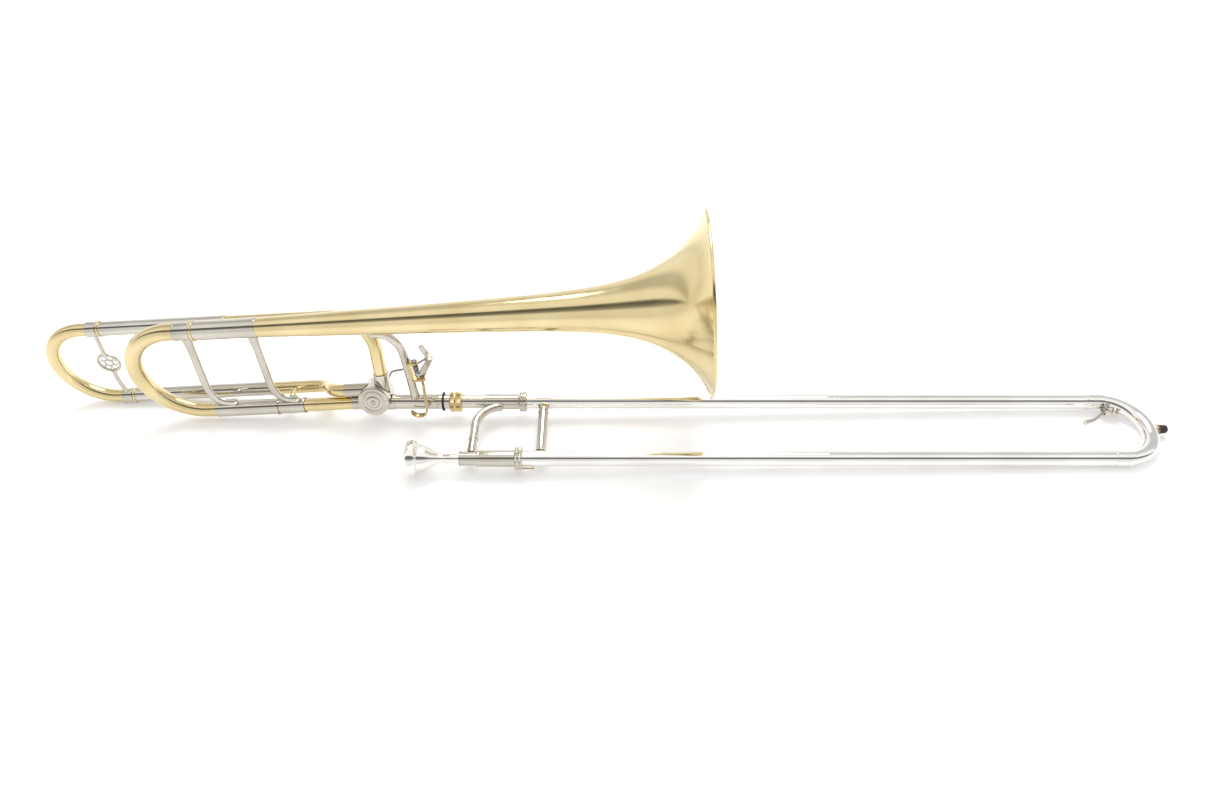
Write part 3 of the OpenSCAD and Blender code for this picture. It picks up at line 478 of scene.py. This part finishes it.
f_middle = (F_BEND_X, F_DEPTH, (F_LOW + F_HIGH) / 2)
f_bend = arc(f_middle, F_GAP / 2, 90, 270, steps=96)
f_line = [(-287.6, F_DEPTH, F_HIGH)] + f_bend + [(-292.6, F_DEPTH, F_LOW)]
(Piece(TAIL)
    .add(sweep(f_line, round_wire(7), 64), BRASS)
    .done("f_crook_bend", "f_tuning_slide", "lacquered_brass", "f_crook"))
(Piece(TAIL)
    .add(sleeve(-290.6, -279.2, 8.1, 7.2, (-289.4,), 0.2), NICKEL, F_UPPER_AXIS)
    .add(sleeve(-295.6, -284.2, 8.1, 7.2, (-294.4,), 0.2), NICKEL, F_LOWER_AXIS)
    .done("f_crook_sleeves", "f_tuning_slide", "nickel_silver", "f_crook_ferrules"))


def polar(r, degrees):
    """A point of the rosette at a radius and an angle."""
    angle = math.radians(degrees)
    return r * math.cos(angle), 0, r * math.sin(angle)


ROSETTE_R = 11.4
rosette = at(-290.6, F_DEPTH, 49.5)
upper_stay = smooth_line([(-286.8, F_DEPTH, 89.8), (-288.4, F_DEPTH, 76), (-290.4, F_DEPTH, 60.5)])
lower_stay = smooth_line([(-290.8, F_DEPTH, 38.5), (-292.2, F_DEPTH, 26), (-292, F_DEPTH, 14),
                          (-291, F_DEPTH, 6.6)])
outer_ring = arc((0, 0, 0), ROSETTE_R, 0, 360, steps=72)[:-1]
inner_ring = arc((0, 0, 0), 3.9, 0, 360, steps=36)[:-1]
f_brace = Piece(TAIL)
f_brace.add(sweep(outer_ring, lambda t: (1.5, 1.8), 20, True), NICKEL, rosette)
f_brace.add(sweep(inner_ring, lambda t: (0.8, 1), 16, True), NICKEL, rosette)
for middle in range(0, 360, 60):
    leaf = smooth_line([polar(4.2, middle), polar(7.4, middle - 26), polar(10.4, middle),
                        polar(7.4, middle + 26), polar(4.2, middle)], 6)
    f_brace.add(sweep(leaf, round_wire(0.6), 12), NICKEL, rosette)
f_brace.add(sweep(upper_stay, strut(2.4, 2), 24), NICKEL)
f_brace.add(sweep(lower_stay, strut(2.4, 2), 24), NICKEL)
f_brace.done("f_brace_rosette", "f_tuning_slide", "nickel_silver", "f_slide_brace")

stay_profile = rounded([(8, 0), (8, 3.6), (9.4, 3.4), (10, 1.8), (12.4, 1.7), (13.4, 2.9), (15.6, 3.4),
                        (17.8, 2.9), (18.8, 1.7), (21.2, 1.8), (22, 3.4), (23.3, 3.6), (23.3, 0)],
                       0.8, 3)
(Piece(TAIL)
    .add(lathe(stay_profile, 48), BRASS, at(-99, 0, 0) @ ALONG_Y)
    .done("turned_stay", "bell_section", "lacquered_brass", "f_loop_stay"))

# ---- Valve ----

CAP_Y = -12.05
cap_profile = rounded([(0, 0), (0, 16.4), (0.6, 16.75), (2.4, 16.75), (3.3, 15.6), (3.5, 12.6),
                       (4.1, 12), (4.1, 10.8), (3.4, 10.2), (3.2, 7.4), (4.2, 6.7), (4.8, 5.6),
                       (4.8, 2.6), (4.1, 2.2), (4.1, 0)], 0.4, 4)
cap_screw = rounded([(4.0, 0), (4.0, 1.9), (4.5, 1.7), (4.7, 0)], 0.2, 3)
cap_place = at(0, CAP_Y, ROTOR_HEIGHT) @ ALONG_Y @ Matrix.Rotation(math.pi, 4, "Z")
(Piece(VALVE)
    .add(lathe(cap_profile, 144, 0.16, 16.6), NICKEL, cap_place)
    .add(lathe(cap_screw, 32), STEEL, cap_place)
    .done("valve_cap_turned", "bell_section", "nickel_silver", "valve_cap"))
casing_profile = rounded([(-12, 15.05), (-12, 16.1), (-10.8, 16.4), (-8.6, 16.4), (-8, 16), (11, 16),
                          (11.6, 16.4), (12.6, 16.4), (13, 15.8), (13, 3.1), (10, 3.1), (10, 15.05)],
                         0.3, 3)
(Piece(VALVE)
    .add(lathe(casing_profile, 128), NICKEL, at(0, 0, ROTOR_HEIGHT) @ ALONG_Y)
    .done("valve_barrel", "bell_section", "nickel_silver", "valve_casing"))

# ---- Lock nut ----

nut_profile = rounded([(-13, 9.6), (-13, 10.2), (-12, 11.2), (-8.2, 11.2), (-7.6, 10.4), (-6.4, 10.4),
                       (-5.8, 11.2), (-1, 11.2), (0, 10.2), (0, 7.5), (-2.6, 7.5), (-2.6, 9.6)], 0.4, 3)
(Piece(SLIDE)
    .add(lathe(nut_profile, 144, 0.35, 11), RAW_BRASS)
    .done("knurled_nut", "lock_nut", "bare_brass", "lock_nut"))

# ---- Front bell brace and lever ----

front_line = smooth_line([(42.4, 0, 4.4), (42.9, 0, 30), (43.4, 0, 56), (43, 0, 73), (39.5, 0, 84),
                          (32.5, 0, 92.6), (24, 0, 96.2), (17, 0, 96.6)])
(Piece(TAIL)
    .add(sweep(front_line, strut(4.5, 4.2, 1.12)), NICKEL)
    .done("front_brace_bar", "bell_section", "nickel_silver", "front_bell_brace"))

saddle = Piece(TAIL)
saddle.add(plate(rounded([(-5, 31), (4, 31), (4, 58), (-5, 58)], 2.2), 45.2, 48.1), RAW_BRASS, YZ)
for low in (31, 54.6):
    saddle.add(plate(stadium((47.5, -2), AXLE, 3.3), low, low + 3.4), RAW_BRASS, XY)
saddle.done("lever_bracket", "bell_section", "bare_brass", "lever_saddle")

spring_line = [(2.6, -3.5, 0)] + helix(2.6, 1.25, 4.1)
(Piece(TAIL)
    .add(sweep(spring_line, round_wire(0.5), 16), STEEL, at(*AXLE, 47.2))
    .done("wound_spring", "bell_section", "steel", "lever_spring"))

PAD_Y = AXLE[1] - 14
pin = (AXLE[0] + LEVER_ARM * math.sin(HALF_THROW), AXLE[1] + LEVER_ARM * math.cos(HALF_THROW))
hub_profile = rounded([(0, 1.55), (0, 2.9), (1.2, 3), (1.6, 2.6), (2.4, 2.6), (2.8, 3), (7.4, 3),
                       (7.8, 2.6), (8.6, 2.6), (9, 3), (10, 2.9), (10, 1.55)], 0.2, 2)
pin_profile = rounded([(0, 0), (0, 2.4), (2, 2.4), (2, 1.5), (5.8, 1.5), (5.8, 2.3), (6.8, 2.1),
                       (6.8, 0)], 0.2, 2)
blade = rounded([(53, 38.5), (59, 37), (75, 64.5), (68.5, 84), (62, 81.5), (68, 64.5), (58, 45),
                 (53, 45)], 2.4)
blade_foot = rounded([(55, 34.6), (61, 34.6), (61, 41), (55, 41)], 1)
thumb_line = smooth_line([(54, -4, 38.5), (57.6, -9.5, 38.4), (59.6, -14, 36), (59.4, PAD_Y, 30),
                          (58, PAD_Y, 16), (56.4, PAD_Y, 2)])
pad_line = arc((47.5, PAD_Y, 0.5), 8.7, 0, -165, steps=40)
lever = Piece(TAIL)
lever.add(lathe(hub_profile, 48), STEEL, at(*AXLE, HUB_Z) @ ALONG_Z)
lever.add(plate(stadium(AXLE, pin, 2.4), HUB_Z, HUB_Z + 2), NICKEL, XY)
lever.add(lathe(pin_profile, 32), STEEL, at(*pin, HUB_Z) @ ALONG_Z)
lever.add(plate(blade, AXLE[1] - 4.8, AXLE[1] - 2.8, 0.5), NICKEL, XZ)
lever.add(plate(blade_foot, -8.4, -4.6, 0.5), RAW_BRASS, XZ)
lever.add(sweep(thumb_line, round_wire(1.5), 24), RAW_BRASS)
lever.add(sweep(pad_line, lambda t: (0.9, 3.4), 32, hint=(0, 1, 0)), RAW_BRASS)
lever.done("thumb_lever_formed", "thumb_lever", "nickel_silver", "thumb_lever")

STOP_R = LEVER_ARM * math.sin(HALF_THROW) / math.sin(math.pi / 4)
STUD_X = STOP_R * math.sin(math.pi / 4)
EYE_Z = ROTOR_HEIGHT + STUD_X + (STOP_R - STUD_X) / 2
SLOT_HALF = (STOP_R - STUD_X) / 2 + 0.4
LINK_Z = HUB_Z + 3.8
LEAN = Matrix.Rotation(-VALVE_LEAN, 4, "X")
rod_end = LEAN.to_3x3() @ Vector((STUD_X + 3.2, pin[1], EYE_Z))
rod_line = smooth_line([(pin[0] - 2.6, pin[1], LINK_Z), (48, pin[1], 34.2), (34, pin[1], 27.5),
                        (19, pin[1], 24.4), (14, pin[1] + 1, 19), rod_end])
pin_eye = rounded([(0, 1.58), (0, 3.4), (2.9, 3.4), (2.9, 1.58)], 0.4, 3)
slot_outline = stadium((0, -SLOT_HALF), (0, SLOT_HALF), 2.85, 16)
slot_line = [(STUD_X + u, pin[1], EYE_Z + v) for u, v in slot_outline]
link = Piece(TAIL)
link.add(sweep(rod_line, round_wire(1.2), 20), STEEL)
link.add(lathe(pin_eye, 40), STEEL, at(*pin, LINK_Z - 1.5) @ ALONG_Z)
link.add(sweep(slot_line, round_wire(0.9), 16, True), STEEL, LEAN)
link.done("link_wire", "linkage_rod", "steel", "linkage_rod")

# ---- Inner slide ----

barrel_back = [(24, 7.25), (24, 8.2), (24.6, 8.5), (26, 8.5), (26.4, 8.2), (27.2, 8.2), (27.6, 8.5)]
barrel_bore = [(44, 8.25), (44, 7.25)]
barrel_collar = [(61.4, 8.5), (62, 9.4), (63.2, 11.1), (65, 11.4), (66, 10.3), (67.2, 11.1),
                 (69.2, 11.1), (70.8, 9.8), (70.8, 8.25)]
upper_barrel = barrel_back + barrel_collar + barrel_bore
lower_barrel = barrel_back + [(71, 8.5), (71, 8.25)] + barrel_bore
(Piece(SLIDE)
    .add(lathe(rounded(upper_barrel, 0.5, 4)), NICKEL)
    .done("upper_barrel_turned", "inner_slide", "nickel_silver", "upper_cork_barrel"))
(Piece(SLIDE)
    .add(lathe(rounded(lower_barrel, 0.3, 3)), NICKEL, LOWER)
    .done("lower_barrel_turned", "inner_slide", "nickel_silver", "lower_cork_barrel"))
lock_profile = rounded([(62.6, 8.58), (62.6, 10), (63.8, 11.7), (65.6, 11.9), (66.6, 10.8),
                        (67.6, 11.7), (69.6, 11.7), (71, 10.4), (71, 8.58)], 0.4, 3)
latch_place = LOWER @ Matrix.Rotation(math.radians(135), 4, "X")
(Piece(SLIDE)
    .add(lathe(lock_profile, 144, 0.2, 11.5), NICKEL, LOWER)
    .add(plate(stadium((70, 0), (81.4, 0), 1.7), 9.2, 10.8), RAW_BRASS, latch_place)
    .done("knurled_lock_ring", "slide_lock", "nickel_silver", "slide_lock_ring"))

brace_turn = arc((44.5, -34.9, 0), 27, 180, 90, XY, 32)
inner_line = [(17.5, -75.2 + 38 * k / 12, 0) for k in range(12)] + brace_turn
brace_ring = rounded([(0, 4.4), (0, 5), (0.7, 5.3), (1.5, 5.3), (2.2, 5), (2.2, 4.4)], 0.3, 3)
(Piece(SLIDE)
    .add(sweep(inner_line, strut(4.6, 4.6, 1.12, 0.05), 40, hint=(0, 0, 1)), NICKEL)
    .add(lathe(brace_ring, 48), NICKEL, at(17.5, -57, 0) @ ALONG_Y)
    .done("inner_brace_bar", "inner_slide", "nickel_silver", "inner_slide_brace"))

# ---- Outer slide ----

hand = Piece(SLIDE)
hand_profile = rounded([(-73.6, 0), (-73.6, 6.4), (-71.6, 5.5), (-68, 5.3), (-17.6, 5.3), (-17, 5.9),
                        (-15.6, 5.9), (-15, 5.1), (-12.5, 5), (-10, 5.9), (-8.2, 6.6), (-8.2, 0)],
                       0.7, 4)
hand.add(lathe(hand_profile, 64), NICKEL, at(89, 0, 0) @ ALONG_Y)
for y in (0, -SPACING):
    hand.add(sleeve(81.5, 96.5, 8.45, TUBE_R + 0.02, (83, 95), 0.15), CHROME, at(0, y, 0))
hand.done("hand_grip", "outer_slide", "nickel_silver", "hand_brace")

bow_line = arc((BOW_X, -BOW_R, 0), BOW_R, 90, -90, XY, 96)
bow = Piece(SLIDE).add(sweep(bow_line, round_wire(TUBE_R), 56, hint=(0, 0, 1)), CHROME)
for y, turn in ((0, (90, 78)), (-SPACING, (-90, -78))):
    bow.add(sleeve(BOW_X - 10.4, BOW_X, 8.4, TUBE_R + 0.02), CHROME, at(0, y, 0))
    collar = arc((BOW_X, -BOW_R, 0), BOW_R, *turn, XY, 10)
    bow.add(sweep(collar, lambda t: (8.4 - 0.35 * t ** 6,) * 2, 56, hint=(0, 0, 1)), CHROME)
bumper_seat = rounded([(-0.8, 0), (-0.8, 5.7), (0.6, 5.6), (1.4, 5), (1.4, 0)], 0.4, 3)
bow.add(lathe(bumper_seat, 48), NICKEL, at(BOW_X + BOW_R + TUBE_R - 0.6, -BOW_R, 0))

# Places on the bow are given by an angle from its upper end and a radius.
KEY_SEAT = math.radians(33)
KEY_TURN = math.radians(14)


def bow_point(angle, r):
    return Vector((BOW_X + r * math.sin(angle), r * math.cos(angle) - BOW_R, 0))


def bow_out(angle, r):
    """Turned work on the inside of the bow, with x pointing outwards."""
    return Matrix.Translation(bow_point(angle, r)) @ Matrix.Rotation(math.pi / 2 - angle, 4, "Z")


KEY_INNER = BOW_R - TUBE_R
water_nipple = rounded([(-3.6, 1.8), (-3.6, 3), (-2.8, 3.2), (0.6, 3.2), (1.4, 4), (1.4, 1.8)], 0.3, 3)
bow.add(lathe(water_nipple, 40), NICKEL, bow_out(KEY_SEAT, KEY_INNER))
bow.done("bow_bend", "outer_slide", "nickel_silver", "slide_bow")

bumper_x = BOW_X + BOW_R + TUBE_R + 1.05
bumper_profile = rounded([(1.2, 0), (1.2, 4.7), (2.2, 4.9), (9.2, 4.4), (10.5, 3.2), (10.5, 0)], 0.8, 4)
bumper_washer = rounded([(0.1, 0), (0.1, 5.2), (1.2, 5.2), (1.2, 0)], 0.3, 3)
(Piece(SLIDE)
    .add(lathe(bumper_washer, 56), COPPER, at(bumper_x, -BOW_R, 0))
    .add(lathe(bumper_profile, 56), RUBBER, at(bumper_x, -BOW_R, 0))
    .done("bumper_turned", "outer_slide", "black_rubber", "bow_bumper"))

pivot = bow_point(KEY_TURN, KEY_INNER - 4.4)
foot = bow_point(KEY_TURN, KEY_INNER + 0.6)
hinge_pin = rounded([(-6.6, 0), (-6.6, 1.1), (6.6, 1.1), (6.6, 0)], 0.3, 3)
mount = Piece(SLIDE)
for low in (-6, 4.4):
    mount.add(plate(stadium(pivot.xy, foot.xy, 2.6), low, low + 1.6, 0.3), NICKEL, XY)
mount.add(lathe(hinge_pin, 32), STEEL, at(*pivot) @ ALONG_Z)
mount.done("key_hinge", "outer_slide", "nickel_silver", "water_key_mount")
springs = Piece(SLIDE)
for low in (2.95, -4.3):
    springs.add(sweep(helix(1.85, 0.6, 2), round_wire(0.3), 12), STEEL, at(pivot.x, pivot.y, low))
springs.done("key_spring_wound", "outer_slide", "steel", "water_key_spring")

pad_r = KEY_INNER - 3.65
key_line = smooth_line([bow_point(KEY_SEAT, pad_r - 3), bow_point(KEY_TURN, KEY_INNER - 5.4),
                        (BOW_X - 9, -26.5, 0), (BOW_X - 22, -31.5, 0)])
pad_cup = rounded([(-4.4, 0), (-4.4, 2.2), (-3.6, 3.4), (-1.4, 3.4), (-1.4, 0)], 0.4, 3)
pad_disc = rounded([(-1.4, 0), (-1.4, 2.8), (0, 2.8), (0, 0)], 0.3, 3)
key_hub = rounded([(-2.4, 1.16), (-2.4, 2.4), (2.4, 2.4), (2.4, 1.16)], 0.3, 3)
key = Piece(SLIDE)
key.add(sweep(key_line, lambda t: (1.3 + 1.3 * t ** 3, 1.3 + 2 * t ** 3), 24, hint=(0, 0, 1)), NICKEL)
key.add(lathe(pad_cup, 40), NICKEL, bow_out(KEY_SEAT, pad_r))
key.add(lathe(pad_disc, 40), COPPER, bow_out(KEY_SEAT, pad_r))
key.add(lathe(key_hub, 32), NICKEL, at(*pivot) @ ALONG_Z)
key.done("water_key_formed", "water_key", "nickel_silver", "water_key_lever")

# ---- Mouthpiece ----

RIM_X = -47.5
outside = smooth_line([(1.4, 12.8), (0.3, 14.4), (0, 15.9), (0.6, 17.7), (2.6, 19.1), (5, 19.25),
                       (8.6, 18.6), (10.8, 16.9), (12, 14.9), (16.5, 13.6), (22, 11.4), (27, 8.2),
                       (31.5, 5.8), (35, 4.7), (37.4, 4.5), (40, 4.9), (53.5, 5.0), (82, 4.75)], 5)
inside = smooth_line([(82, 3.9), (60, 3.4), (40, 3.1), (27, 3.1), (22.5, 4.4), (17, 8.6), (10, 11.6),
                      (4, 12.4), (1.4, 12.8)], 5)
(Piece(SLIDE)
    .add(lathe(outside + inside[:-1], 128), SILVER, at(RIM_X, -SPACING, 0))
    .done("mouthpiece_turned", "mouthpiece", "silver_plate", "mouthpiece"))

# ---- CAD nodes that stay as they are ----

slots = {part["node"]: part["material_slot"] for part in frame["record"]["subparts"]}
for name, node in frame["nodes"].items():
    mesh = node.data
    mesh.materials.clear()
    mesh.materials.append(SLOT_MATERIALS[slots[name]])
    mesh.shade_smooth()
    mesh.set_sharp_from_angle(angle=math.radians(32))

# ---- Floor, light and camera: floor and lamp are placed in metres ----

FLOOR_HALF = 6
floor_mesh = bpy.data.meshes.new("floor")
corners = [(x * FLOOR_HALF, y * FLOOR_HALF, 0) for x, y in ((-1, -1), (1, -1), (1, 1), (-1, 1))]
floor_mesh.from_pydata(corners, [], [(0, 1, 2, 3)])
pale = surface("pale floor", linear(250, 250, 250), linear(247, 247, 247), metallic=0,
               roughness=(0.9, 1), grain=60, bump=0.02)
pale.node_tree.nodes["Principled BSDF"].inputs["Emission Color"].default_value = (1, 1, 1, 1)
pale.node_tree.nodes["Principled BSDF"].inputs["Emission Strength"].default_value = 0.22
floor_mesh.materials.append(pale)
floor = bpy.data.objects.new("floor", floor_mesh)
bpy.context.scene.collection.objects.link(floor)

key_light = bpy.data.lights.new("soft key", "AREA")
key_light.shape = "DISK"
key_light.size = 1.3
key_light.energy = 22
key_holder = bpy.data.objects.new("soft key", key_light)
key_holder.location = (0.1, 1.0, 1.7)
key_holder.rotation_euler = (-key_holder.location).to_track_quat("-Z", "Y").to_euler()
bpy.context.scene.collection.objects.link(key_holder)

# The studio's brightness by angle: 0 is the horizon in front of the object, 90 overhead and 180 the
# horizon behind. There is one dark strip in front and one grey one behind.
STUDIO = ((0, 0.85), (30, 0.9), (38, 0.34), (50, 0.13), (60, 0.13), (67, 1.0), (96, 1.0), (116, 0.62),
          (142, 0.62), (158, 1.0))
world = bpy.data.worlds.new("studio")
bpy.context.scene.world = world
world.use_nodes = True
nodes = world.node_tree.nodes
links = world.node_tree.links
direction = nodes.new("ShaderNodeTexCoord")
parts = nodes.new("ShaderNodeSeparateXYZ")
links.new(direction.outputs["Generated"], parts.inputs["Vector"])
flip = nodes.new("ShaderNodeMath")
flip.operation = "MULTIPLY"
flip.inputs[1].default_value = -1
links.new(parts.outputs["Y"], flip.inputs[0])
angle = nodes.new("ShaderNodeMath")
angle.operation = "ARCTAN2"
links.new(parts.outputs["Z"], angle.inputs[0])
links.new(flip.outputs["Value"], angle.inputs[1])
share = nodes.new("ShaderNodeMapRange")
share.inputs["From Max"].default_value = math.pi
links.new(angle.outputs["Value"], share.inputs["Value"])
ramp = nodes.new("ShaderNodeValToRGB")
for _ in STUDIO[2:]:
    ramp.color_ramp.elements.new(0.5)
for element, (degrees, value) in zip(ramp.color_ramp.elements, STUDIO):
    element.position = degrees / 180
    element.color = (value, value, value, 1)
links.new(share.outputs["Result"], ramp.inputs["Fac"])
links.new(ramp.outputs["Color"], nodes["Background"].inputs["Color"])
nodes["Background"].inputs["Strength"].default_value = 1.1
bpy.context.scene.view_settings.view_transform = "Standard"

# The middle of the picture is TARGET_X along the slide's axis and TARGET_DROP below it.
ELEVATION = math.radians(45.7)
DISTANCE = 967.3
TARGET_X = 157.5
TARGET_DROP = 3.2
LENS = 26.3
camera_data = bpy.data.cameras.new("camera")
camera_data.sensor_width = 36
camera_data.lens = LENS
camera = bpy.data.objects.new("camera", camera_data)
bpy.context.scene.collection.objects.link(camera)
bpy.context.scene.camera = camera
up = Vector((0, math.sin(ELEVATION), math.cos(ELEVATION)))
ahead = Vector((0, math.cos(ELEVATION), -math.sin(ELEVATION)))
stand = Vector((TARGET_X, 0, 0)) - up * TARGET_DROP - ahead * DISTANCE
turn = (SLIDE.to_3x3() @ Matrix.Scale(1 / MM, 3)) @ Matrix.Rotation(math.pi / 2 - ELEVATION, 3, "X")
camera.matrix_world = Matrix.Translation(SLIDE @ stand) @ turn.to_4x4()
